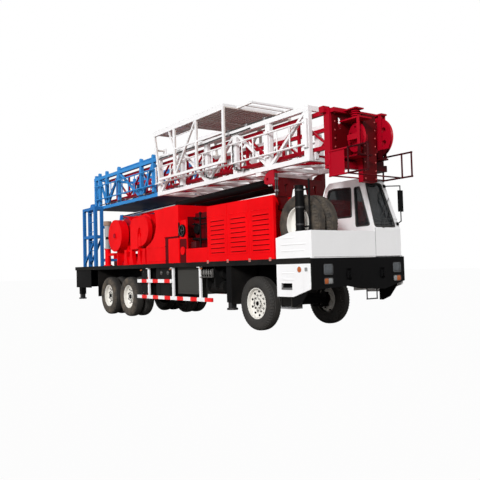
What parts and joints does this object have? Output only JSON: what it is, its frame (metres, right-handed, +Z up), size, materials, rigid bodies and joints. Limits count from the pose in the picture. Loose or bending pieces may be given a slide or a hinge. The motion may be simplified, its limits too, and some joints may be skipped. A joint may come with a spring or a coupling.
{
  "type": "workover rig",
  "caption": "Self-propelled truck-mounted well servicing rig with a folded two-section lattice mast, drawworks, engine housing and half-width cab.",
  "frame": {"origin": "on the ground under the middle of the whole rig", "axes": "+X forward over the cab, +Y to the left, +Z up"},
  "size_m": [12.84, 2.5, 5.024],
  "materials": {
    "red_paint": "gloss",
    "white_paint": "gloss",
    "blue_paint": "gloss",
    "black_paint": "satin",
    "tyre_rubber": "matte",
    "rim_paint": "satin",
    "window_glass": "polished",
    "lamp_glass": "polished",
    "cab_plastic": "matte",
    "black_plastic": "satin",
    "cast_iron": "matte",
    "grey_steel": "weathered",
    "bright_rod": "polished",
    "jack_steel": "satin"
  },
  "bodies": {
    "carrier": {"chassis_frame": "black_paint", "deck": "black_paint", "under_deck_tanks": "black_paint", "side_guards": "white_paint", "axles": "black_paint", "bumper": "black_paint", "front_body": "white_paint", "cab_shell": "white_paint", "cab_glass": "window_glass", "cab_interior": "cab_plastic", "wing_mirror": "black_plastic", "lamps": "lamp_glass", "engine": "cast_iron", "engine_housing": "red_paint", "power_boxes": "red_paint", "drawworks": "red_paint", "exhaust": "grey_steel", "spare_tyres": "tyre_rubber", "spare_rims": "rim_paint", "mast_support": "red_paint", "rear_frame": "blue_paint"},
    "steer_left": {"knuckle_left": "black_paint"},
    "steer_right": {"knuckle_right": "black_paint"},
    "wheel_front_left": {"tyre_front_left": "tyre_rubber", "rim_front_left": "rim_paint"},
    "wheel_front_right": {"tyre_front_right": "tyre_rubber", "rim_front_right": "rim_paint"},
    "wheels_rear_1_left": {"tyres_rear_1_left": "tyre_rubber", "rims_rear_1_left": "rim_paint"},
    "wheels_rear_1_right": {"tyres_rear_1_right": "tyre_rubber", "rims_rear_1_right": "rim_paint"},
    "wheels_rear_2_left": {"tyres_rear_2_left": "tyre_rubber", "rims_rear_2_left": "rim_paint"},
    "wheels_rear_2_right": {"tyres_rear_2_right": "tyre_rubber", "rims_rear_2_right": "rim_paint"},
    "door": {"cab_door": "white_paint"},
    "winch_drum": {"drum": "cast_iron"},
    "lower_mast": {"mast_lower_rear": "blue_paint", "mast_lower_front": "white_paint"},
    "upper_mast": {"mast_upper": "red_paint", "crown_block": "red_paint"},
    "board": {"racking_board": "white_paint"},
    "rams": {"ram_barrels": "black_paint"},
    "ram_stems": {"ram_rods": "bright_rod"},
    "jack_1": {"jack_front_left": "jack_steel"},
    "jack_2": {"jack_front_right": "jack_steel"},
    "jack_3": {"jack_rear_left": "jack_steel"},
    "jack_4": {"jack_rear_right": "jack_steel"}
  },
  "joints": [
    {"name": "steer_left_pivot", "type": "hinge", "parent": "carrier", "child": "steer_left", "pos_m": [3.53, 0.8, 0.56], "axis": [0, 0, 1], "range_deg": [-35, 35]},
    {"name": "steer_right_pivot", "type": "hinge", "parent": "carrier", "child": "steer_right", "pos_m": [3.53, -0.8, 0.56], "axis": [0, 0, 1], "range_deg": [-35, 35]},
    {"name": "roll_front_left", "type": "hinge", "parent": "steer_left", "child": "wheel_front_left", "pos_m": [3.53, 0.97, 0.56], "axis": [0, 1, 0], "continuous": true},
    {"name": "roll_front_right", "type": "hinge", "parent": "steer_right", "child": "wheel_front_right", "pos_m": [3.53, -0.97, 0.56], "axis": [0, 1, 0], "continuous": true},
    {"name": "roll_rear_1_left", "type": "hinge", "parent": "carrier", "child": "wheels_rear_1_left", "pos_m": [-2.437, 1.055, 0.56], "axis": [0, 1, 0], "continuous": true},
    {"name": "roll_rear_1_right", "type": "hinge", "parent": "carrier", "child": "wheels_rear_1_right", "pos_m": [-2.437, -1.055, 0.56], "axis": [0, 1, 0], "continuous": true},
    {"name": "roll_rear_2_left", "type": "hinge", "parent": "carrier", "child": "wheels_rear_2_left", "pos_m": [-3.823, 1.055, 0.56], "axis": [0, 1, 0], "continuous": true},
    {"name": "roll_rear_2_right", "type": "hinge", "parent": "carrier", "child": "wheels_rear_2_right", "pos_m": [-3.823, -1.055, 0.56], "axis": [0, 1, 0], "continuous": true},
    {"name": "cab_door_hinge", "type": "hinge", "parent": "carrier", "child": "door", "pos_m": [5.131, 1.184, 1.78], "axis": [0, 0, -1], "range_deg": [0, 70]},
    {"name": "drum_spin", "type": "hinge", "parent": "carrier", "child": "winch_drum", "pos_m": [-3.23, 0, 2.34], "axis": [0, 1, 0], "continuous": true},
    {"name": "mast_raise", "type": "hinge", "parent": "carrier", "child": "lower_mast", "pos_m": [-5.43, 0, 3.4], "axis": [0, -1, 0], "range_deg": [0, 90]},
    {"name": "mast_extend", "type": "slide", "parent": "lower_mast", "child": "upper_mast", "axis": [1, 0, 0], "range_m": [0, 8]},
    {"name": "board_fold", "type": "hinge", "parent": "lower_mast", "child": "board", "pos_m": [-0.95, 0, 4.52], "axis": [0, -1, 0], "range_deg": [0, 90]},
    {"name": "ram_swing", "type": "hinge", "parent": "lower_mast", "child": "rams", "pos_m": [3.27, 0, 3.15], "axis": [0, -1, 0], "range_deg": [-1, 5]},
    {"name": "ram_stroke", "type": "slide", "parent": "rams", "child": "ram_stems", "axis": [-0.9998, 0, -0.0181], "range_m": [-0.01, 1.4]},
    {"name": "jack_1_slide", "type": "slide", "parent": "carrier", "child": "jack_1", "axis": [0, 0, -1], "range_m": [0, 0.38]},
    {"name": "jack_2_slide", "type": "slide", "parent": "carrier", "child": "jack_2", "axis": [0, 0, -1], "range_m": [0, 0.38]},
    {"name": "jack_3_slide", "type": "slide", "parent": "carrier", "child": "jack_3", "axis": [0, 0, -1], "range_m": [0, 0.38]},
    {"name": "jack_4_slide", "type": "slide", "parent": "carrier", "child": "jack_4", "axis": [0, 0, -1], "range_m": [0, 0.38]}
  ],
  "couplings": [
    {"joint": "steer_right_pivot", "follows": "steer_left_pivot", "ratio": 1},
    {"joint": "ram_swing", "follows": "mast_raise", "ratio": 0.03743},
    {"joint": "ram_stroke", "follows": "mast_raise", "m_per_rad": 0.8694}
  ]
}
